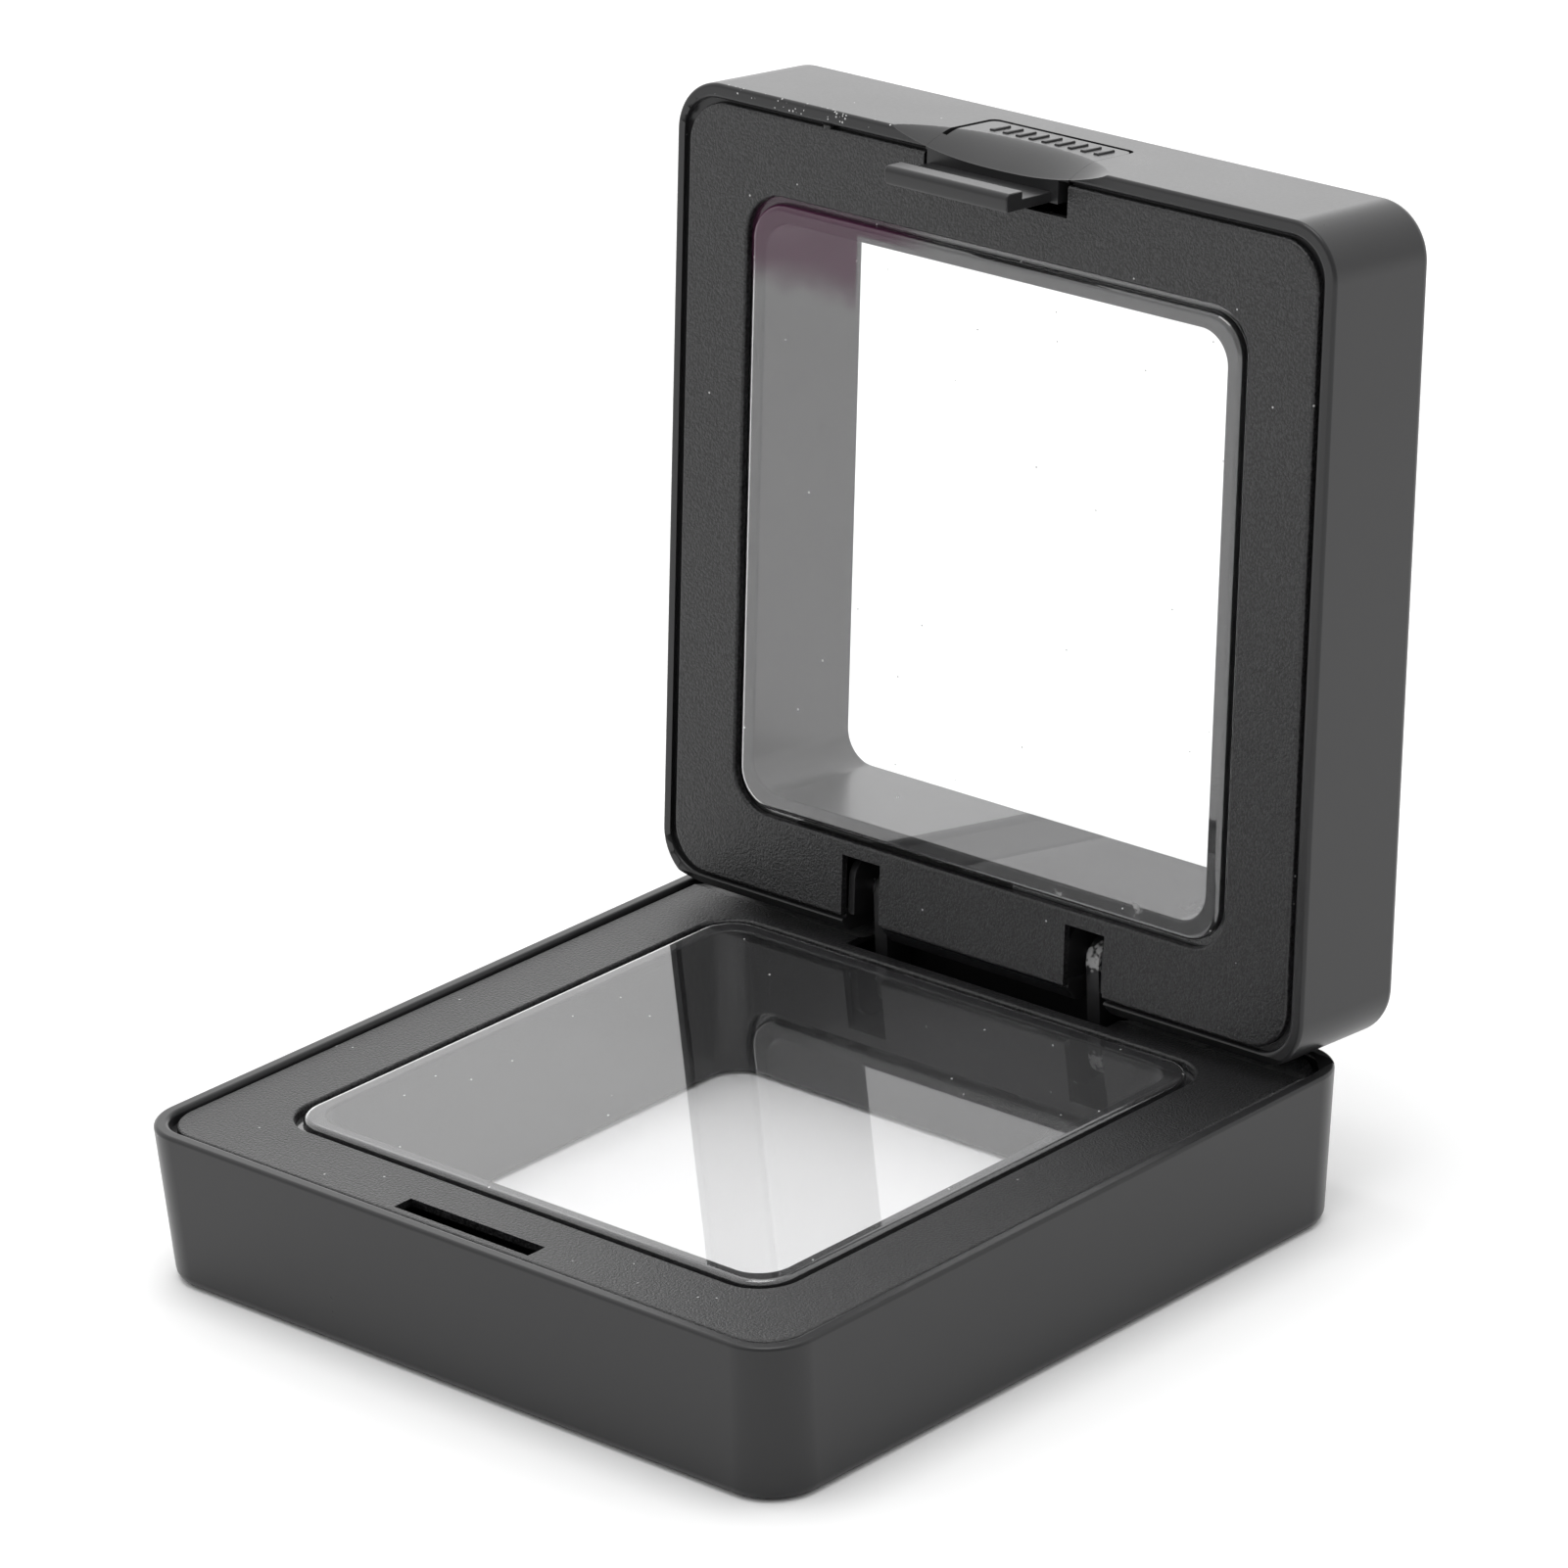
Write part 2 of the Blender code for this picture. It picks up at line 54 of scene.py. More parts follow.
# Everything is drawn with the box closed and the base centred on the origin, then put where
# the frame has it
hinge = next(joint for joint in frame["joints"] if joint["name"] == "lid_hinge")
hingePlace = Vector(hinge["pos_m"])
openAngle = math.radians(-hinge["range_deg"][0])
baseLow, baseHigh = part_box("base_shell")
basePlace = Matrix.Translation((0, (baseLow.y + baseHigh.y) / 2, 0))
lidPlace = (Matrix.Translation(hingePlace) @ Matrix.Rotation(-openAngle, 4, "X")
            @ Matrix.Translation(-hingePlace) @ basePlace)
axisY = (basePlace.inverted() @ hingePlace).y
axisZ = hingePlace.z

box = {
    "side": 0.0750,
    "baseHeight": 0.0145,
    "partingGap": 0.00025,
    "cornerRadius": 0.0049,
    "faceEdge": 0.0011,  # fillet round each outer face
    "rimEdge": 0.00035,
    "rimInner": 0.00045,
    "rimWidth": 0.0014,
    "ledge": 0.0008,
    "floor": 0.0016,
    "wellInset": 0.0111,
    "wellRadius": 0.0030,
    "wellEdge": 0.00025,
    "flange": 0.0020,
    "flangeDepth": 0.0012,
    "mouth": 0.0006,
    "cornerSteps": 20,
    "filletSteps": 6,
}
half = box["side"] / 2
lidFace = box["baseHeight"] + box["partingGap"]

panel = {
    "groove": 0.00025,
    "thickness": 0.0007,
    "cornerRadius": 0.0041,
    "edge": 0.0003,
    "windowInset": 0.00885,
    "windowRadius": 0.0040,
    "windowEdge": 0.0003,
    "softEdge": 0.00008,
    "seat": 0.00006,
    "lidSlack": (-0.00005, 0, 0),
    "nib": (-0.0200, -0.0192),  # where a nib on the lid's plate closes the groove
    "nibGap": 0.00002,
    "nibReach": 0.00075,
    "nibRise": 0.00004,
}

sheet = {  # the film: flat across the ring, folded down outside it
    "thickness": 0.00012,
    "crownInset": 0.0095,
    "crownRadius": 0.0036,
    "fold": 0.00055,
    "borderInset": 0.0078,
    "borderRadius": 0.0050,
    "foot": 0.0002,
    "flatInset": 0.0125,  # the square in the middle that the mesh closes over
    "flatRadius": 0.0010,
}
crownHalf = half - sheet["crownInset"]
ringGap = sheet["thickness"] + panel["seat"]
ringHalf = crownHalf - ringGap


class Half:  # one moulded half's levels, each drop measured from its open face into it
    def __init__(self, face, inward, height, draft, panelDrop, filmDrop):
        self.face, self.inward, self.height, self.draft = face, inward, height, draft
        self.panelDrop, self.filmDrop = panelDrop, filmDrop
        self.ledgeDrop = panelDrop + panel["thickness"] + panel["seat"]
        self.ringDrop = filmDrop + ringGap
        self.seatDrop = self.ledgeDrop + ringGap

    def at(self, drop):
        return self.face + self.inward * drop


baseHalf = Half(face=box["baseHeight"], inward=-1, height=box["baseHeight"], draft=0.0008,
                panelDrop=0.0003, filmDrop=0.0001)
lidHalf = Half(face=lidFace, inward=1, height=0.0133, draft=0.00025,
               panelDrop=-0.00012, filmDrop=-0.0003)
lidBack = lidHalf.at(lidHalf.height)

hingeWork = {
    "slotFrom": 0.01085,
    "slotTo": 0.01535,
    "slotReach": 0.0075,
    "slotTop": 0.00245,  # above the axis
    "armMiddle": 0.0125,
    "armThickness": 0.0015,
    "armHead": 0.0022,
    "armBack": 0.0009,
    "armBore": 0.00082,
    "armEdge": 0.00015,
    "headSteps": 24,
    "chinSteps": 10,
    "bore": 0.00086,
    "boreMiddle": 0.0131,
    "boreReach": 0.0045,
    "cheek": 0.0007,
    "cheekInset": 0.00015,
    "cheekFront": 0.0006,
    "cheekRound": 0.0018,
    "cheekSteps": 10,
    "chamfer": 0.0012,
    "middleChamfer": 0.0018,
    "relief": 0.0002,
    "reliefInset": 0.0013,
    "reliefSteps": 160,
}

latch = {
    "window": 0.0163,
    "windowTop": 0.0090,
    "leftGap": 0.00055,
    "rightGap": 0.00002,
    "top": 0.00845,
    "cornerRound": 0.0008,
    "cornerSteps": 8,
    "skirtGap": 0.00002,  # the left gap closes up below the scoop's edge
    "skirtTop": 0.0021,
    "notch": 0.0164,
    "slotFront": 0.00245,
    "slotDepth": 0.00205,
    "slotWidth": 0.0157,
    "clearance": 0.0001,
    "stem": 0.00095,
    "webFrom": -0.00795,
    "webTo": 0.0070,
    "webDeep": 0.0016,
    "root": 0.0015,  # how far the stem runs up into the web
    "sink": 0.0003,
    "hookFrom": -0.00775,
    "hookTo": 0.0062,
    "reach": 0.0058,
    "barb": 0.0007,
    "barbEdge": 0.00012,
    "hookEdge": 0.00014,
    "hookSteps": 3,
    "nose": 0.00055,
    "noseStep": 0.0003,
    "lip": 0.0033,
    "lipEnds": 0.0008,
    "pocket": 0.0009,
    "pocketHeight": 0.0042,
}
catchFront = latch["slotFront"] - half
catchBack = catchFront + latch["slotDepth"]
stemFront = catchFront + latch["clearance"]
stemBack = stemFront + latch["stem"]
lipUnder = box["baseHeight"] - latch["lip"]

class Wire:  # a socket that takes Python arithmetic, each sum adding a Math node
    def __init__(self, finish, socket):
        self.finish, self.socket = finish, socket

    def math(self, operation, *values):
        return self.finish.node("ShaderNodeMath", {"operation": operation}, *values)

    def larger(self, other):
        return self.math("MAXIMUM", self, other)

    def __add__(self, other):
        return self.math("ADD", self, other)

    def __radd__(self, other):
        return self.math("ADD", other, self)

    def __sub__(self, other):
        return self.math("SUBTRACT", self, other)

    def __rsub__(self, other):
        return self.math("SUBTRACT", other, self)

    def __mul__(self, other):
        return self.math("MULTIPLY", self, other)

    def __rmul__(self, other):
        return self.math("MULTIPLY", other, self)

    def __gt__(self, other):
        return self.math("GREATER_THAN", self, other)

    def __lt__(self, other):
        return self.math("LESS_THAN", self, other)


class Finish:  # a material being wired up
    def __init__(self, name):
        self.material = bpy.data.materials.new(name)
        self.material.use_nodes = True
        self.tree = self.material.node_tree
        self.shader = self.tree.nodes["Principled BSDF"]
        self.output = self.tree.nodes["Material Output"]

    def node(self, kind, settings, *values, take=0, **named):
        made = self.tree.nodes.new(kind)
        for key, value in settings.items():
            setattr(made, key, value)
        for index, value in enumerate(values):
            self.feed(made.inputs[index], value)
        for key, value in named.items():
            self.feed(made.inputs[key.replace("_", " ")], value)
        return Wire(self, made.outputs[take])

    def feed(self, socket, value):
        if isinstance(value, Wire):
            self.tree.links.new(value.socket, socket)
        elif socket.type == "RGBA":
            socket.default_value = (*value[:3], 1)
        else:
            socket.default_value = value

    def set(self, **named):
        for key, value in named.items():
            self.feed(self.shader.inputs[key.replace("_", " ")], value)

    def place(self):
        return self.node("ShaderNodeTexCoord", {}, take="Object")

    def along(self, place, start, way):  # metres from a point, along a unit direction
        dot = self.node("ShaderNodeVectorMath", {"operation": "DOT_PRODUCT"}, place, way, take="Value")
        return dot - start.dot(way)

    def fade(self, value, start, end):  # rises softly from 0 at start to 1 at end
        return self.node("ShaderNodeMapRange", {"interpolation_type": "SMOOTHSTEP"}, value, start, end)

    def noise(self, place, scale, detail=2.0, roughness=0.5):
        return self.node("ShaderNodeTexNoise", {}, Vector=place, Scale=scale, Detail=detail,
                         Roughness=roughness)

    def mix(self, factor, first, second):
        made = self.tree.nodes.new("ShaderNodeMix")
        made.data_type = "RGBA"
        for socket, value in ((made.inputs[0], factor), (made.inputs[6], first), (made.inputs[7], second)):
            self.feed(socket, value)
        return Wire(self, made.outputs[2])

    def specks(self, place, scale, size, share):  # small round grains, in a share of the cells
        cells = {"feature": "F1", "distance": "EUCLIDEAN"}
        away = self.node("ShaderNodeTexVoronoi", cells, Vector=place, Scale=scale, take="Distance")
        chance = self.node("ShaderNodeTexVoronoi", cells, Vector=place, Scale=scale, take="Color")
        pick = self.node("ShaderNodeSeparateXYZ", {}, chance)
        return (away < size) * (pick < share)


satin = {
    "colour": (0.019, 0.019, 0.0198),
    "specular": 0.37,
    "dust": (0.50, 0.50, 0.50),
    "roughness": 0.24,
    "cloud": 60,  # per metre, as every scale here
    "cloudRoughness": 0.06,
    "grain": 3200,
    "grainRoughness": 0.05,
    "grainDepth": 0.000012,
    "bump": 0.25,
    "dustSize": 0.09,  # a share of the cell that the grain sits in
    "dustScale": 900,
    "dustShare": 0.012,
}

rimSpecks = {  # light specks along the lid's upper left edge
    "band": 0.0006,
    "inset": 0.0004,
    "from": -0.009,
    "to": -0.018,
    "scale": 2900,
    "size": 0.28,
    "share": 0.55,
    "crowd": 420,
    "crowdFrom": 0.44,
    "crowdTo": 0.62,
}


def rimSpeckMask(finish, place, spec=rimSpecks):
    edge = lidPlace @ Vector((0, spec["inset"] - half, lidFace))
    turn = lidPlace.to_3x3()
    down, deep = (finish.along(place, edge, turn @ Vector(way)) for way in ((0, 1, 0), (0, 0, 1)))
    band = (down * down + deep * deep) < spec["band"] ** 2
    share = finish.fade(finish.along(place, Vector(), Vector((1, 0, 0))), spec["from"], spec["to"])
    crowd = finish.fade(finish.noise(place, spec["crowd"], 1), spec["crowdFrom"], spec["crowdTo"])
    return band * finish.specks(place, spec["scale"], spec["size"], share * crowd * spec["share"])


armPatch = {  # a light patch on the right arm's head
    "place": (0.0126, 0.0318, 0.0196),
    "reach": 0.0015,
    "soft": 0.0004,
    "waver": 0.0018,
    "waverScale": 1100,
    "fleck": 1700,
    "fleckFrom": 0.38,
    "fleckTo": 0.60,
}


def armPatchMark(finish, place, spec=armPatch):
    middle = basePlace @ Vector(spec["place"])
    away = finish.node("ShaderNodeVectorMath", {"operation": "DISTANCE"}, place, middle, take="Value")
    ragged = away + (finish.noise(place, spec["waverScale"], 2) - 0.5) * spec["waver"]
    whole = finish.fade(ragged, spec["reach"], spec["reach"] - spec["soft"])
    return whole * finish.fade(finish.noise(place, spec["fleck"], 1), spec["fleckFrom"], spec["fleckTo"])


def satinPlastic(name, marks=None, spec=satin):
    finish = Finish(name)
    place = finish.place()
    grain = finish.noise(place, spec["grain"], 3)
    cloud = finish.noise(place, spec["cloud"], 2)
    dust = finish.specks(place, spec["dustScale"], spec["dustSize"], spec["dustShare"])
    if marks:
        dust = dust.larger(marks(finish, place))
    bump = finish.node("ShaderNodeBump", {}, Strength=spec["bump"], Distance=spec["grainDepth"],
                       Height=grain)
    roughness = spec["roughness"] + cloud * spec["cloudRoughness"] + grain * spec["grainRoughness"]
    finish.set(Base_Color=finish.mix(dust, spec["colour"], spec["dust"]), Roughness=roughness,
               Specular_IOR_Level=spec["specular"], Normal=bump)
    return finish.material


# The grain is painted into the colour: painted shade in its hollows and painted glints on its peaks
grained = {
    "hollow": (0.004, 0.004, 0.0043),
    "peakGlint": (0.024, 0.024, 0.0252),
    "specular": 0.49,
    "dust": (0.45, 0.45, 0.45),
    "roughness": 0.30,
    "cloud": 45,
    "cloudRoughness": 0.08,
    "grain": 4300,
    "grainFrom": 0.38,
    "grainTo": 0.66,
    "grainDepth": 0.00014,
    "bump": 0.8,
    "dustSize": 0.07,
    "dustScale": 700,
    "dustShare": 0.10,
}


def grainedPlastic(name, spec=grained):
    finish = Finish(name)
    place = finish.place()
    grain = finish.noise(place, spec["grain"], 2, 0.6)
    cloud = finish.noise(place, spec["cloud"], 3)
    dust = finish.specks(place, spec["dustScale"], spec["dustSize"], spec["dustShare"])
    bump = finish.node("ShaderNodeBump", {}, Strength=spec["bump"], Distance=spec["grainDepth"],
                       Height=grain)
    # painted shade in the grain's hollows and painted glints on its peaks, following the bump's height
    grainShadeAndGlint = finish.mix(finish.fade(grain, spec["grainFrom"], spec["grainTo"]), spec["hollow"], spec["peakGlint"])
    finish.set(Base_Color=finish.mix(dust, grainShadeAndGlint, spec["dust"]), Normal=bump,
               Roughness=spec["roughness"] + cloud * spec["cloudRoughness"],
               Specular_IOR_Level=spec["specular"])
    return finish.material


filmLook = {
    "ior": 1.62,
    "tint": (0.94, 0.94, 0.945),
    "roughness": 0.015,
    "shadow": (0.94, 0.94, 0.94),
    "dust": (0.75, 0.75, 0.75),
    "dustSize": 0.042,
    "dustScale": 420,
    "dustShare": 0.5,
    "haze": 0.003,
}

cornerTint = {  # a dark tint in the lid film's upper left corner, drawn out along its top edge
    "colour": (0.087, 0.022, 0.058),
    "share": 0.40,
    "right": -0.0153,
    "low": -0.0198,
    "soft": 0.0038,
    "sideSoft": 0.0004,
    "stripLow": -0.0268,
    "stripTo": -0.0060,
    "stripFade": 0.0076,
    "waver": 0.0030,
    "waverScale": 260,
}

gumMarks = {  # the ragged edge of the gum under the lid film's lower fold, and two light smears
    "colour": (0.012, 0.012, 0.012),
    "share": 0.75,
    "from": -0.0215,
    "to": 0.0040,
    "edge": 0.0282,
    "waver": 0.0016,
    "smear": (0.42, 0.42, 0.42),
    "smears": ((0.0103, 0.0271, 0.0007), (0.0188, 0.0266, 0.0010)),  # across, down, reach
    "smearShare": 0.6,
    "streak": 1500,
    "streakFrom": 0.45,
    "streakTo": 0.65,
}


def lidPlaces(finish, place):  # across the lid, and from its latch side to its hinge side
    middle = lidPlace @ Vector((0, 0, lidFace))
    turn = lidPlace.to_3x3()
    return (finish.along(place, middle, turn @ Vector(way)) for way in ((1, 0, 0), (0, 1, 0)))


def coat(finish, share, under, colour):  # a matte mark of one colour over what lies under it
    matte = finish.node("ShaderNodeBsdfDiffuse", {}, Color=colour)
    return finish.node("ShaderNodeMixShader", {}, share, under, matte)


def cornerTintShare(finish, across, down, waver, spec=cornerTint):
    low, right, strip = spec["low"], spec["right"], spec["stripLow"]
    corner = finish.fade(down + waver * spec["waver"], low, low - spec["soft"])
    corner *= finish.fade(across, right, right - spec["sideSoft"])
    edge = finish.fade(down, strip, strip - spec["sideSoft"])
    edge *= finish.fade(across, spec["stripTo"], spec["stripTo"] - spec["stripFade"])
    return corner.larger(edge) * spec["share"]


def gumShare(across, down, waver, spec=gumMarks):
    below = down + waver * spec["waver"] > spec["edge"]
    return below * (across > spec["from"]) * (across < spec["to"]) * spec["share"]


def lidFilmMarks(finish, place, clean, spec=gumMarks):
    across, down = lidPlaces(finish, place)
    waver = finish.noise(place, cornerTint["waverScale"], 3) - 0.5
    marked = coat(finish, cornerTintShare(finish, across, down, waver), clean, cornerTint["colour"])
    marked = coat(finish, gumShare(across, down, waver), marked, spec["colour"])
    streaks = finish.fade(finish.noise(place, spec["streak"], 2), spec["streakFrom"], spec["streakTo"])
    light = finish.node("ShaderNodeBsdfDiffuse", {}, Color=spec["smear"])
    for x, y, reach in spec["smears"]:
        offX, offY = across - x, down - y
        smear = finish.fade(offX * offX + offY * offY, reach ** 2, 0) * streaks * spec["smearShare"]
        marked = finish.node("ShaderNodeMixShader", {}, smear, marked, light)
    return marked


def clearFilm(name, marks=None, spec=filmLook):
    finish = Finish(name)
    place = finish.place()
    finish.set(Base_Color=spec["tint"], Roughness=spec["roughness"], IOR=spec["ior"],
               Transmission_Weight=1.0)
    dust = finish.specks(place, spec["dustScale"], spec["dustSize"], spec["dustShare"])
    glass = Wire(finish, finish.shader.outputs[0])
    seen = coat(finish, dust + spec["haze"], glass, spec["dust"])
    if marks:
        seen = marks(finish, place, seen)
    clear = finish.node("ShaderNodeBsdfTransparent", {}, Color=spec["shadow"])
    shadow = finish.node("ShaderNodeLightPath", {}, take="Is Shadow Ray")
    both = finish.node("ShaderNodeMixShader", {}, shadow, seen, clear)
    finish.feed(finish.output.inputs["Surface"], both)
    return finish.material


steel = {
    "colour": (0.62, 0.62, 0.64),
    "roughness": 0.22,
    "drawn": 1500,
    "drawnRoughness": 0.15,
}


def brightSteel(name, spec=steel):
    finish = Finish(name)
    drawn = finish.noise(finish.place(), spec["drawn"], 3)
    finish.set(Base_Color=spec["colour"], Metallic=1.0,
               Roughness=spec["roughness"] + drawn * spec["drawnRoughness"])
    return finish.material


shellFinish = satinPlastic("satinBlackPlastic")
lidShellFinish = satinPlastic("speckedBlackPlastic", rimSpeckMask)
armFinish = satinPlastic("patchedBlackPlastic", armPatchMark)
panelFinish = grainedPlastic("grainedBlackPlastic")
filmFinish = clearFilm("clearFilm")
lidFilmFinish = clearFilm("markedFilm", lidFilmMarks)
steelFinish = brightSteel("brightSteel")
print("finishes made")


def meshObject(name, shape):
    mesh = bpy.data.meshes.new(name)
    shape.to_mesh(mesh)
    shape.free()
    made = bpy.data.objects.new(name, mesh)
    bpy.context.collection.objects.link(made)
    return made


def squareRing(half, radius, z, steps):
    points = []
    for quarter, (signX, signY) in enumerate(((1, 1), (-1, 1), (-1, -1), (1, -1))):
        middle = Vector((signX * (half - radius), signY * (half - radius), z))
        for step in range(steps + 1):
            angle = math.pi / 2 * (quarter + step / steps)
            points.append(middle + radius * Vector((math.cos(angle), math.sin(angle), 0)))
    return points


def roundOff(corners, steps):  # corners of a section as (half, z, plan radius, fillet)
    section = []
    for index, (out, z, ring, fillet) in enumerate(corners):
        if not fillet:
            section.append((out, ring, z))
            continue
        here = Vector((out, z))
        toLast = Vector(corners[index - 1][:2]) - here
        toNext = Vector(corners[(index + 1) % len(corners)][:2]) - here
        turn = toLast.angle(toNext)
        reach = fillet / math.tan(turn / 2)
        toLast.normalize()
        toNext.normalize()
        middle = here + (toLast + toNext).normalized() * fillet / math.sin(turn / 2)
        start = here + toLast * reach - middle
        sweep = start.angle_signed(here + toNext * reach - middle)
        for step in range(steps + 1):
            spoke = Matrix.Rotation(-sweep * step / steps, 2) @ start
            section.append((middle.x + spoke.x, ring + middle.x + spoke.x - out, middle.y + spoke.y))
    return section


def bridge(shape, ring, after):
    for index in range(len(ring)):
        following = (index + 1) % len(ring)
        shape.faces.new((ring[index], ring[following], after[following], after[index]))


def sweepSection(name, corners, whole=True):  # a ring with a hole, or capped across its middle
    shape = bmesh.new()
    rings = [[shape.verts.new(point) for point in squareRing(out, ring, z, box["cornerSteps"])]
             for out, ring, z in roundOff(corners, box["filletSteps"])]
    for ring, after in zip(rings, rings[1:] + rings[:1] * whole):
        bridge(shape, ring, after)
    if not whole:
        shape.faces.new(rings[0])
        shape.faces.new(rings[-1])
    bmesh.ops.recalc_face_normals(shape, faces=shape.faces)
    return meshObject(name, shape)


def slab(name, low, high):
    shape = bmesh.new()
    bmesh.ops.create_cube(shape, size=1)
    low, high = Vector(low), Vector(high)
    bmesh.ops.scale(shape, vec=high - low, verts=shape.verts)
    bmesh.ops.translate(shape, vec=(low + high) / 2, verts=shape.verts)
    return meshObject(name, shape)


def rodX(name, lowX, highX, y, z, radius, steps=64):
    shape = bmesh.new()
    bmesh.ops.create_cone(shape, cap_ends=True, segments=steps, radius1=radius, radius2=radius,
                          depth=highX - lowX)
    place = Matrix.Translation(((lowX + highX) / 2, y, z)) @ Matrix.Rotation(math.pi / 2, 4, "Y")
    bmesh.ops.transform(shape, matrix=place, verts=shape.verts)
    return meshObject(name, shape)


def profileX(name, outline, lowX, highX):  # an outline of (y, z) points drawn out along X
    shape = bmesh.new()
    first, last = ([shape.verts.new((x, y, z)) for y, z in outline] for x in (lowX, highX))
    bridge(shape, first, last)
    shape.faces.new(first)
    shape.faces.new(last)
    bmesh.ops.recalc_face_normals(shape, faces=shape.faces)
    return meshObject(name, shape)


def bevelEdges(piece, test, radius, steps):
    shape = bmesh.new()
    shape.from_mesh(piece.data)
    chosen = [edge for edge in shape.edges if test(edge.verts[0].co, edge.verts[1].co)]
    bmesh.ops.bevel(shape, geom=chosen, offset=radius, offset_type="OFFSET", affect="EDGES", segments=steps,
                    profile=0.5, clamp_overlap=True)
    shape.to_mesh(piece.data)
    shape.free()
    return piece


def settle(piece):  # makes the modifiers' result the piece's own mesh
    bpy.context.view_layer.update()
    ready = piece.evaluated_get(bpy.context.evaluated_depsgraph_get())
    mesh = bpy.data.meshes.new_from_object(ready)
    piece.modifiers.clear()
    piece.data = mesh
    return piece


def work(piece, operation, *tools):
    for tool in tools:
        step = piece.modifiers.new(tool.name, "BOOLEAN")
        step.operation, step.solver, step.object = operation, "EXACT", tool
        settle(piece)
        bpy.data.objects.remove(tool, do_unlink=True)
    return piece


def cut(piece, *tools):
    return work(piece, "DIFFERENCE", *tools)


def join(piece, *tools):
    return work(piece, "UNION", *tools)


smoothing = {  # angles in degrees
    "flat": 0.2,
    "edge": 50,
    "edgeSteps": 2,
    "sharp": 32,
    "filmSharp": 60,
}


def dress(piece, place, body, finish, replaced, softEdge=0.0, sharp=smoothing["sharp"]):
    shape = bmesh.new()
    shape.from_mesh(piece.data)
    bmesh.ops.remove_doubles(shape, verts=shape.verts, dist=hair)
    bmesh.ops.dissolve_limit(shape, angle_limit=math.radians(smoothing["flat"]), verts=shape.verts,
                             edges=shape.edges)
    shape.to_mesh(piece.data)
    shape.free()
    if softEdge:
        edge = piece.modifiers.new("softEdge", "BEVEL")
        edge.width, edge.segments, edge.limit_method = softEdge, smoothing["edgeSteps"], "ANGLE"
        edge.angle_limit = math.radians(smoothing["edge"])
        settle(piece)
    piece.data.shade_smooth()
    piece.data.set_sharp_from_angle(angle=math.radians(sharp))
    weigh = piece.modifiers.new("faceNormals", "WEIGHTED_NORMAL")
    weigh.keep_sharp = True
    settle(piece)
    piece.data.materials.clear()
    piece.data.materials.append(finish)
    piece.data.transform(place)
    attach(piece, body)
    if replaced:
        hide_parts(*replaced)
    pieces[piece.name] = piece
    return piece


def shellCorners(side):  # one half's wall section, from the rim round and back
    at, corner = side.at, box["cornerRadius"]
    rim, ledge = half - box["rimWidth"], half - box["rimWidth"] - box["ledge"]
    well, wellRound = half - box["wellInset"], box["wellRadius"]
    flange, ringRound = ringHalf + box["flange"], sheet["crownRadius"] - ringGap
    under, deep, mouth = side.seatDrop + box["flangeDepth"], side.height - box["floor"], box["mouth"]
    return [
        (half, at(0), corner, box["rimEdge"]),
        (half - side.draft, at(side.height), corner, box["faceEdge"]),
        (well + mouth, at(side.height), wellRound + mouth, mouth / 3),
        (well, at(side.height - mouth), wellRound, mouth / 3),
        (well, at(side.ringDrop), wellRound, box["wellEdge"]),
        (ringHalf, at(side.ringDrop), ringRound, sheet["fold"] - ringGap),
        (ringHalf, at(side.seatDrop), ringRound, 0),
        (flange, at(side.seatDrop), sheet["borderRadius"], 0),
        (flange, at(under), sheet["borderRadius"], 0),
        (ringHalf, at(under), ringRound, 0),
        (ringHalf, at(deep), ringRound, 0),
        (ledge, at(deep), corner - box["rimWidth"] - box["ledge"], 0),
        (ledge, at(side.ledgeDrop), corner - box["rimWidth"] - box["ledge"], 0),
        (rim, at(side.ledgeDrop), corner - box["rimWidth"], 0),
        (rim, at(0), corner - box["rimWidth"], box["rimInner"]),
    ]


def panelCorners(side):  # the retaining panel's section
    outer, window = half - box["rimWidth"] - panel["groove"], half - panel["windowInset"]
    front, back = side.at(side.panelDrop), side.at(side.panelDrop + panel["thickness"])
    return [
        (outer, back, panel["cornerRadius"], 0),
        (outer, front, panel["cornerRadius"], panel["edge"]),
        (window, front, panel["windowRadius"], panel["windowEdge"]),
        (window, back, panel["windowRadius"], 0),
    ]


def filmCorners(side):  # the draped sheet, from the crown's underside out to the border and back over it
    thick, border = sheet["thickness"], half - sheet["borderInset"]
    top, foot = side.at(side.filmDrop), side.at(side.ledgeDrop)
    under, sole = side.at(side.filmDrop + thick), side.at(side.ledgeDrop + thick)
    inner, inside, insideRound = crownHalf - thick, half - sheet["flatInset"], sheet["flatRadius"]
    return [
        (inside, under, insideRound, 0),
        (inner, under, sheet["crownRadius"] - thick, sheet["fold"] - thick),
        (inner, sole, sheet["crownRadius"] - thick, sheet["foot"]),
        (border, sole, sheet["borderRadius"], 0),
        (border, foot, sheet["borderRadius"], 0),
        (crownHalf, foot, sheet["crownRadius"], sheet["foot"] / 2),
        (crownHalf, top, sheet["crownRadius"], sheet["fold"]),
        (inside, top, insideRound, 0),
    ]


def reliefRod():
    inset, rise, chamfer = half - axisY, axisZ - lidFace, hingeWork["chamfer"]
    swing = max(math.hypot(inset - chamfer, rise), math.hypot(inset, rise - chamfer))
    reach = half - hingeWork["reliefInset"]
    return rodX("relief", -reach, reach, axisY, axisZ, swing + hingeWork["relief"],
                hingeWork["reliefSteps"])


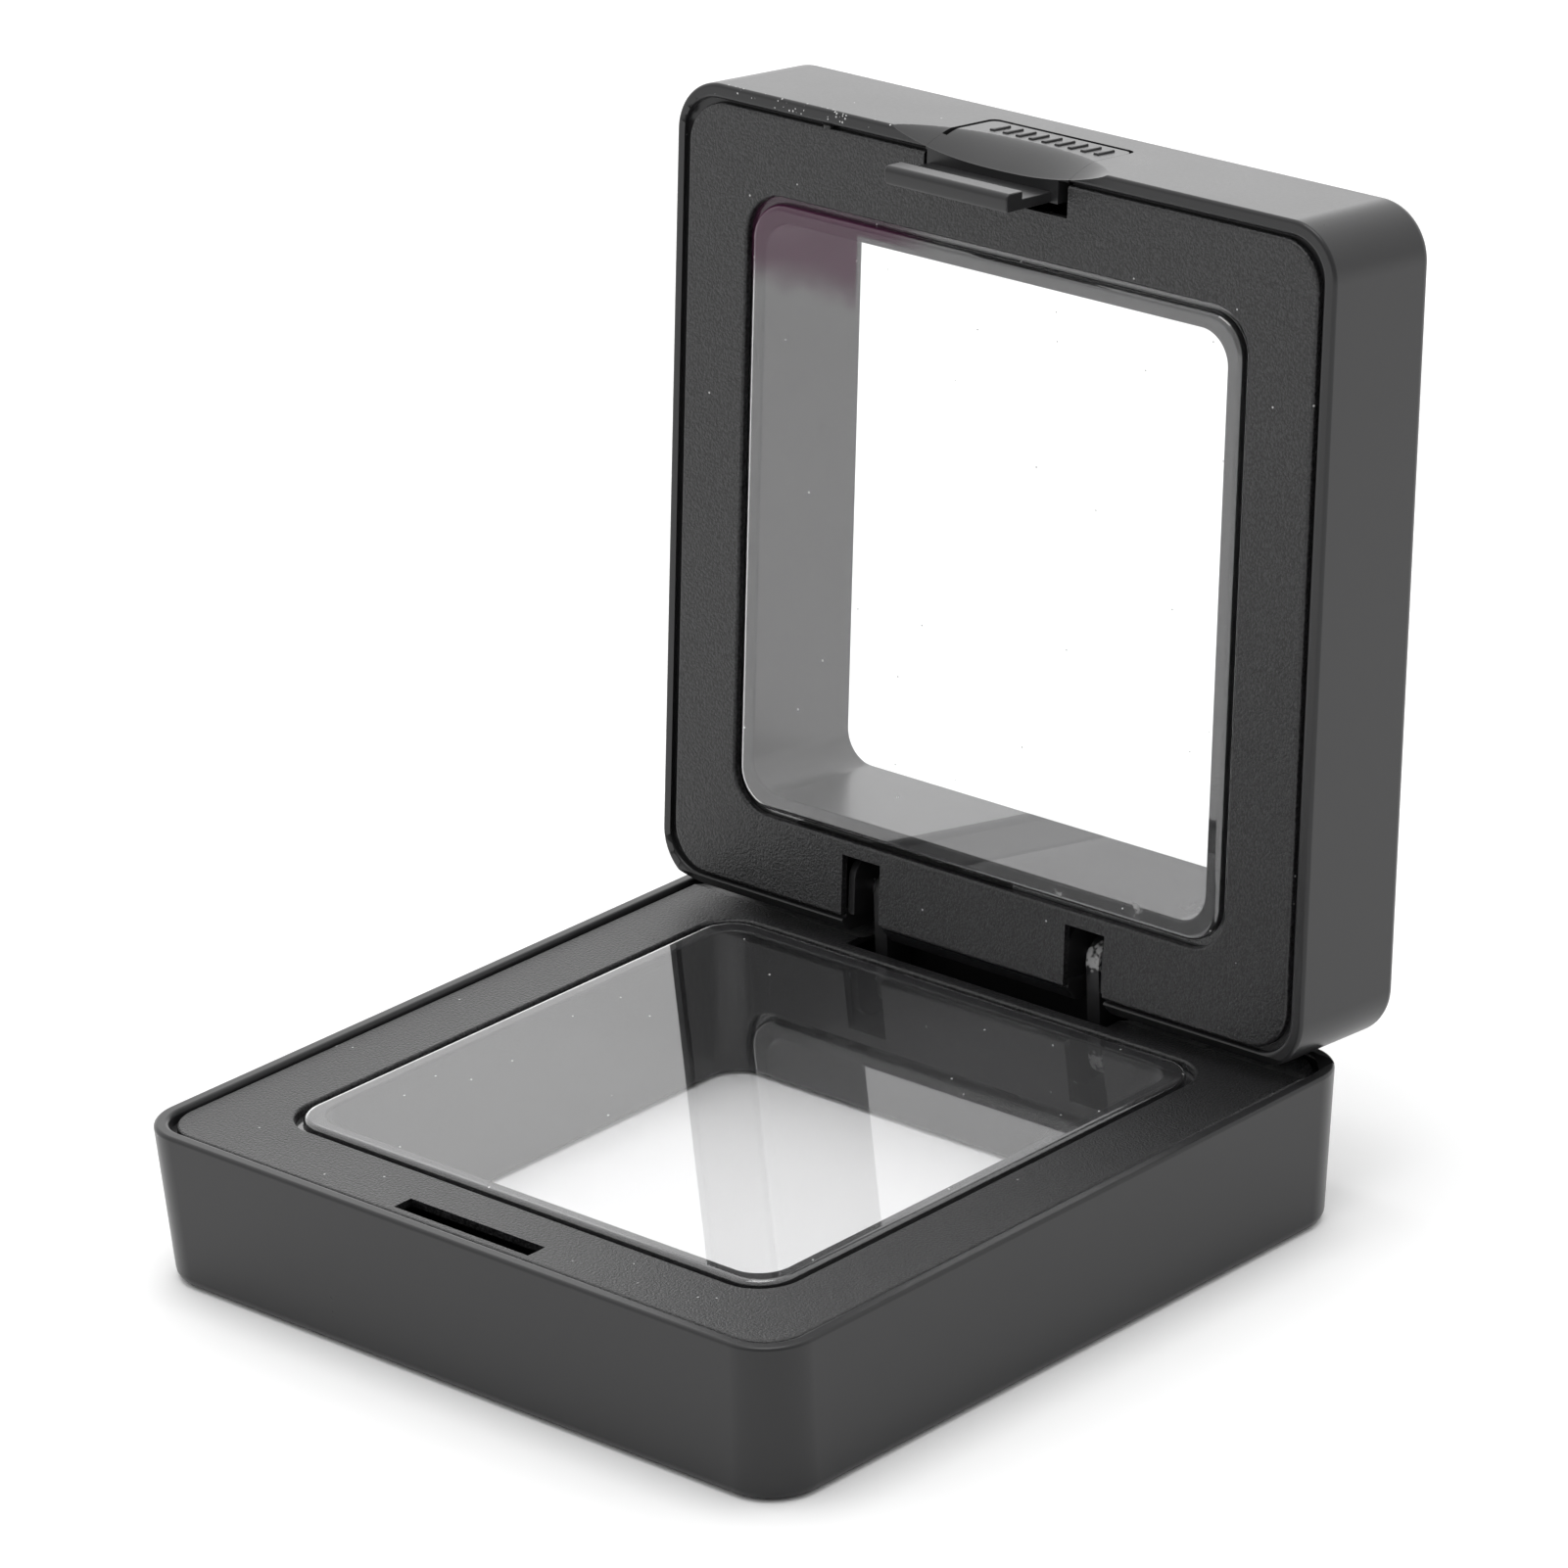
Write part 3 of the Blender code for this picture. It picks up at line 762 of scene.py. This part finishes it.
def makeBaseShell():
    shell = sweepSection("baseShell", shellCorners(baseHalf))
    side = latch["slotWidth"] / 2
    lipSide = side + latch["lipEnds"]
    lipLow = (-lipSide, box["rimWidth"] / 2 - half, lipUnder)
    join(shell, slab("lip", lipLow, (lipSide, catchFront, baseHalf.at(baseHalf.ledgeDrop + panel["seat"]))))
    pocketLow = (-side, catchFront - latch["pocket"], lipUnder - latch["pocketHeight"])
    cut(shell, slab("pocket", pocketLow, (side, catchFront + overrun, lipUnder)), reliefRod())
    return dress(shell, basePlace, "base", shellFinish, ["base_shell"])


def makeBasePanel():
    plate = sweepSection("basePanel", panelCorners(baseHalf))
    low, high = box["baseHeight"] - 2 * overrun, box["baseHeight"] + overrun
    recess = slab("recess", (-hingeWork["slotTo"], half - hingeWork["slotReach"], low),
                  (hingeWork["slotTo"], half, high))
    side = latch["slotWidth"] / 2
    slot = slab("slot", (-side, catchFront, low), (side, catchBack, high))
    cut(plate, recess, slot, reliefRod())
    return dress(plate, basePlace, "base", panelFinish, ["base_retaining_frame"],
                 panel["softEdge"])


def makeCheek(inner, side):
    front = half - hingeWork["slotReach"] + hingeWork["cheekFront"]
    foot = lidHalf.at(lidHalf.ledgeDrop + panel["seat"])
    back = half - box["rimWidth"] - box["ledge"] / 2
    ends = sorted((side * inner, side * (inner + hingeWork["cheek"])))
    cheek = slab("cheek", (ends[0], front, foot), (ends[1], back, lidBack - box["floor"] / 2))
    return bevelEdges(cheek, lambda a, b: max(abs(p.y - front) + abs(p.z - foot) for p in (a, b)) < near,
                      hingeWork["cheekRound"], hingeWork["cheekSteps"])


scoop = {  # the finger scoop, cut in the lid's wall and the push piece alike
    "reach": 0.0123,
    "depth": 0.0018,
    "rise": 0.0046,
    "ends": 2.4,  # powers that shape the hollow
    "brow": 0.67,
    "bowl": 1.5,
    "bowlShare": 0.75,
    "from": -0.0015,
    "span": 0.0075,
    "wide": 1.1,
    "back": 0.003,
    "columns": 120,
    "rows": 48,
}


def power(value, exponent):  # keeps the sign
    return math.copysign(abs(value) ** exponent, value)


def scoopDepth(x, rise):
    brow = power(1 - (abs(x) / scoop["reach"]) ** scoop["ends"], scoop["brow"])
    left = brow - max(rise, 0) / scoop["rise"]
    bowl = scoop["bowlShare"] * power(left, scoop["bowl"])
    return scoop["depth"] * (bowl + (1 - scoop["bowlShare"]) * left)


def scoopTool():
    shape = bmesh.new()
    draft = lidHalf.draft / lidHalf.height
    columns, rows, wide = scoop["columns"], scoop["rows"], scoop["reach"] * scoop["wide"]
    grid, back = [], []
    for row in range(rows + 1):
        rise = scoop["from"] + scoop["span"] * row / rows
        xs = [wide * (2 * column / columns - 1) for column in range(columns + 1)]
        ys = [max(scoopDepth(x, rise), -overrun) + draft * rise - half for x in xs]
        grid.append([shape.verts.new((x, y, lidFace + rise)) for x, y in zip(xs, ys)])
        back.append([shape.verts.new((x, -half - scoop["back"], lidFace + rise)) for x in xs])
    for level in (grid, back):
        for line, after in zip(level, level[1:]):
            for column in range(columns):
                shape.faces.new((line[column], line[column + 1], after[column + 1], after[column]))
    around = [level[0] + [line[-1] for line in level[1:]] + level[-1][-2::-1]
              + [line[0] for line in level[-2:0:-1]] for level in (grid, back)]
    bridge(shape, *around)
    bmesh.ops.recalc_face_normals(shape, faces=shape.faces)
    return meshObject("scoop", shape)


def roundTop(block, topZ):  # rounds the two upper corners, seen from the front
    return bevelEdges(block, lambda a, b: min(a.z, b.z) > topZ - near and abs(a.x - b.x) < near,
                      latch["cornerRound"], latch["cornerSteps"])


def edgeWedge(chamfer, reach):  # cuts the lid's hinge edge back
    depth = chamfer / math.sqrt(2)
    wedge = slab("wedge", (-reach, -2 * depth, -depth), (reach, 2 * depth, depth))
    edge = Matrix.Translation((0, half, lidFace))
    wedge.data.transform(edge @ Matrix.Rotation(math.pi / 4, 4, "X"))
    return wedge


slimRim = {  # the lid's rim is thinner along its left side
    "by": 0.00065,
    "reach": 0.0042,
}


def thinLeftRim(shell):  # moves the rim's inner wall outwards along the left side
    wall, straight = half - box["rimWidth"], half - box["cornerRadius"]
    deepest = lidHalf.at(lidHalf.ledgeDrop) + hair
    for vertex in shell.data.vertices:
        place = vertex.co
        out = straight + math.hypot(max(abs(place.x) - straight, 0), max(abs(place.y) - straight, 0))
        if place.x < 0 and wall - hair < out < wall + box["rimInner"] and place.z < deepest:
            share = (slimRim["reach"] - place.x - wall) / slimRim["reach"]
            place.x -= slimRim["by"] * min(max(share, 0), 1)


def makeLidShell():
    shell = sweepSection("lidShell", shellCorners(lidHalf))
    thinLeftRim(shell)
    cut(shell, edgeWedge(hingeWork["chamfer"], half + overrun),
        edgeWedge(hingeWork["middleChamfer"], hingeWork["slotFrom"]))
    wallInside = half - box["rimWidth"] - box["ledge"]
    for side in (-1, 1):
        ends = sorted((side * hingeWork["slotFrom"], side * hingeWork["slotTo"]))
        slot = slab("slot", (ends[0], wallInside - overrun, lidFace - overrun),
                    (ends[1], half + overrun, axisZ + hingeWork["slotTop"]))
        cut(shell, slot)
        outer = hingeWork["slotTo"] - hingeWork["cheekInset"] - hingeWork["cheek"]
        inner = hingeWork["slotFrom"] - hingeWork["cheekInset"] - hingeWork["cheek"]
        join(shell, makeCheek(outer, side), makeCheek(inner, side))
        middle, reach = side * hingeWork["boreMiddle"], hingeWork["boreReach"]
        cut(shell, rodX("bore", middle - reach, middle + reach, axisY, axisZ, hingeWork["bore"]))
    side, top = latch["window"] / 2, lidFace + latch["windowTop"]
    window = slab("window", (-side, -half - overrun, lidFace - overrun), (side, overrun - wallInside, top))
    cut(shell, roundTop(window, top), scoopTool())
    return dress(shell, lidPlace, "lid", lidShellFinish, ["lid_shell"])


def makeLidPanel():
    plate = sweepSection("lidPanel", panelCorners(lidHalf))
    plate.data.transform(Matrix.Translation(panel["lidSlack"]))
    low, high = lidFace - overrun, lidFace + 2 * overrun
    for side in (-1, 1):
        ends = sorted((side * hingeWork["slotFrom"], side * hingeWork["slotTo"]))
        cut(plate, slab("slot", (ends[0], half - hingeWork["slotReach"], low), (ends[1], half, high)))
    cut(plate, slab("notch", (-latch["notch"] / 2, -half, low), (latch["notch"] / 2, catchBack, high)))
    rim = box["rimWidth"] - half
    join(plate, slab("nib", (panel["nib"][0], rim + panel["nibGap"], lidFace - panel["nibRise"]),
                     (panel["nib"][1], rim + panel["nibReach"], lidFace + panel["thickness"] / 2)))
    return dress(plate, lidPlace, "lid", panelFinish, ["lid_retaining_frame"],
                 panel["softEdge"])


def arc(middle, radius, first, last, steps=8):  # points of a rounded corner, angles in degrees
    y, z = middle
    angles = (math.radians(first + (last - first) * step / steps) for step in range(steps + 1))
    return [(y + radius * math.cos(angle), z + radius * math.sin(angle)) for angle in angles]


def makeHook():
    tip, barbTop = lidFace - latch["reach"], lipUnder - latch["clearance"]
    barbOut = stemFront - latch["barb"]
    nose, step, root, edge = latch["nose"], latch["noseStep"], lidFace + latch["root"], latch["barbEdge"]
    outline = [(stemBack, root), (stemBack, tip + step), (stemBack - step, tip + step / 4)]
    outline += arc((barbOut + nose, tip + nose), nose, 270, 180)
    outline += [(barbOut, barbTop - edge), (barbOut + edge, barbTop), (stemFront, barbTop)]
    outline += [(stemFront, root)]
    hook = profileX("hook", outline, latch["hookFrom"], latch["hookTo"])
    return bevelEdges(hook, lambda a, b: abs(a.x - b.x) < hair, latch["hookEdge"],
                      latch["hookSteps"])


grip = {  # plain raised ribs on the push piece
    "count": 9,
    "from": -0.0052,
    "to": 0.0066,
    "low": 0.0053,
    "high": 0.0075,
    "width": 0.00055,
    "height": 0.00014,
    "deep": 0.0005,
    "round": 0.00009,
    "steps": 3,
}


def makeLatch():
    draft, rim = lidHalf.draft / lidHalf.height, box["rimEdge"]
    top, side = lidFace + latch["top"], latch["window"] / 2
    inside = box["rimWidth"] - half

    def wall(name, lowX, highX, topZ):
        edge = arc((-half + rim, lidFace + rim), rim, 270, 180, 5)
        upper = [(-half + draft * (topZ - lidFace), topZ), (inside, topZ)]
        return profileX(name, [(inside, lidFace), *edge, *upper], lowX, highX)

    body = wall("pushLatch", latch["leftGap"] - side, side - latch["rightGap"], top)
    roundTop(body, top)
    join(body, wall("skirt", latch["skirtGap"] - side, 0, lidFace + latch["skirtTop"]))
    join(body, slab("web", (latch["webFrom"], inside - latch["sink"], lidFace),
                    (latch["webTo"], stemBack, lidFace + latch["webDeep"])))
    for index in range(grip["count"]):
        middle = grip["from"] + (grip["to"] - grip["from"]) * index / (grip["count"] - 1)
        face = draft * grip["low"] - half - grip["height"]
        rib = slab("rib", (middle - grip["width"] / 2, face, lidFace + grip["low"]),
                   (middle + grip["width"] / 2, face + grip["deep"], lidFace + grip["high"]))
        join(body, bevelEdges(rib, lambda a, b: max(a.y, b.y) < face + hair, grip["round"],
                              grip["steps"]))
    cut(body, scoopTool())
    join(body, makeHook())
    return dress(body, lidPlace, "latch", shellFinish, ["push_latch"])


def makeFilms():
    for body, side, place, finish in (("base", baseHalf, basePlace, filmFinish),
                                      ("lid", lidHalf, lidPlace, lidFilmFinish)):
        film = sweepSection(f"{body}Film", filmCorners(side), whole=False)
        dress(film, place, body, finish, [f"{body}_film"], sharp=smoothing["filmSharp"])


def armOutline():
    head, foot = hingeWork["armHead"], box["floor"] + panel["seat"]
    chin = -math.degrees(math.acos(hingeWork["armBack"] / head))
    outline = [(axisY + hingeWork["armBack"], foot), (axisY - head, foot)]
    outline += arc((axisY, axisZ), head, 180, 0, hingeWork["headSteps"])
    return outline + arc((axisY, axisZ), head, 0, chin, hingeWork["chinSteps"])[1:]


def makeArms():
    for name, side in (("Left", -1), ("Right", 1)):
        middle, thick = side * hingeWork["armMiddle"], hingeWork["armThickness"] / 2
        arm = profileX(f"hingeArm{name}", armOutline(), middle - thick, middle + thick)
        cut(arm, rodX("bore", middle - overrun, middle + overrun, axisY, axisZ, hingeWork["armBore"]))
        dress(arm, basePlace, "base", armFinish, [f"hinge_arm_{name.lower()}"],
              hingeWork["armEdge"])


makeBaseShell()
makeBasePanel()
makeLidShell()
makeLidPanel()
makeLatch()
makeFilms()
makeArms()
for node in ("hinge_pin_left", "hinge_pin_right"):
    frame["nodes"][node].data.materials.clear()
    frame["nodes"][node].data.materials.append(steelFinish)
print("pieces made:", len(pieces))

studio = {
    "floorSize": 8.0,
    "floorDrop": 0.00002,
    "floorColour": (1.0, 1.0, 1.0),
    "backdrop": 1.0,  # what the camera sees, straight or through the film
    "behind": (-0.64, 0.70, 0.30),
    "back": 1.36,
    "front": 0.35,
    "turn": 0.8,  # how far to each side the light goes on changing
    "lamps": {  # name: place, aim, width, height, power
        "overhead": ((0.0, -0.1, 1.5), (0, 0, 0), 0.9, 0.9, 8.2),
        "behindLow": ((-1.22, 1.34, 0.42), (0, 0, 0.04), 2.2, 0.50, 2.2),
    },
}


def makeFloor():
    shape = bmesh.new()
    bmesh.ops.create_grid(shape, x_segments=8, y_segments=8, size=studio["floorSize"] / 2)
    floor = meshObject("floor", shape)
    floor.location = (0, 0, -studio["floorDrop"])
    paper = Finish("paper")
    paper.tree.nodes.remove(paper.shader)
    matte = paper.node("ShaderNodeBsdfDiffuse", {}, Color=studio["floorColour"])
    paper.feed(paper.output.inputs["Surface"], matte)
    floor.data.materials.append(paper.material)


# Bright behind the box and darker in front of it; the backdrop is seen plain white
def makeSurround():
    world = bpy.data.worlds.new("studio")
    bpy.context.scene.world = world
    world.use_nodes = True
    tree = world.node_tree
    around, seen = tree.nodes["Background"], tree.nodes.new("ShaderNodeBackground")
    toward, facing, level, path, either, mixed = (tree.nodes.new(f"ShaderNode{kind}") for kind in (
        "TexCoord", "VectorMath", "MapRange", "LightPath", "Math", "MixShader"))
    facing.operation, either.operation = "DOT_PRODUCT", "MAXIMUM"
    facing.inputs[1].default_value = Vector(studio["behind"]).normalized()
    for name, value in (("From Min", -studio["turn"]), ("From Max", studio["turn"]),
                        ("To Min", studio["front"]), ("To Max", studio["back"])):
        level.inputs[name].default_value = value
    seen.inputs["Strength"].default_value = studio["backdrop"]
    seen.inputs["Color"].default_value = around.inputs["Color"].default_value = (1, 1, 1, 1)
    for start, end in ((toward.outputs["Generated"], facing.inputs[0]),
                       (facing.outputs["Value"], level.inputs[0]),
                       (level.outputs[0], around.inputs["Strength"]),
                       (path.outputs["Is Camera Ray"], either.inputs[0]),
                       (path.outputs["Is Transmission Ray"], either.inputs[1]),
                       (either.outputs[0], mixed.inputs[0]), (around.outputs[0], mixed.inputs[1]),
                       (seen.outputs[0], mixed.inputs[2]),
                       (mixed.outputs[0], tree.nodes["World Output"].inputs["Surface"])):
        tree.links.new(start, end)


def makeLamps():
    for name, (place, aim, width, height, power) in studio["lamps"].items():
        light = bpy.data.lights.new(name, "AREA")
        light.shape, light.size, light.size_y, light.energy = "RECTANGLE", width, height, power
        lamp = bpy.data.objects.new(name, light)
        lamp.location = place
        lamp.rotation_euler = (Vector(aim) - Vector(place)).to_track_quat("-Z", "Y").to_euler()
        lamp.visible_camera = False
        bpy.context.collection.objects.link(lamp)


makeFloor()
makeSurround()
makeLamps()
print("studio made")

camera = {
    "place": (0.454724, -0.476363, 0.308368),  # metres from the middle of the base's underside
    "azimuth": 43.285,
    "elevation": 21.955,
    "roll": -2.284,
    "lens": 191.95,
    "sensor": 36.0,
    "farthest": 20,
}


def makeCamera():
    azimuth, elevation = math.radians(camera["azimuth"]), math.radians(camera["elevation"])
    back = Vector((math.sin(azimuth) * math.cos(elevation), -math.cos(azimuth) * math.cos(elevation),
                   math.sin(elevation)))
    right = (-back).cross(Vector((0, 0, 1))).normalized()
    up = right.cross(-back)
    roll = math.radians(camera["roll"])
    across = right * math.cos(roll) + up * math.sin(roll)
    upright = up * math.cos(roll) - right * math.sin(roll)
    data = bpy.data.cameras.new("photoCamera")
    data.lens, data.sensor_width = camera["lens"], camera["sensor"]
    data.clip_end = camera["farthest"]
    taken = bpy.data.objects.new("photoCamera", data)
    turn = Matrix((across, upright, back)).transposed().to_4x4()
    taken.matrix_world = basePlace @ Matrix.Translation(camera["place"]) @ turn
    bpy.context.collection.objects.link(taken)
    bpy.context.scene.camera = taken


makeCamera()
bpy.context.scene.view_settings.view_transform = "Standard"
print("camera placed")
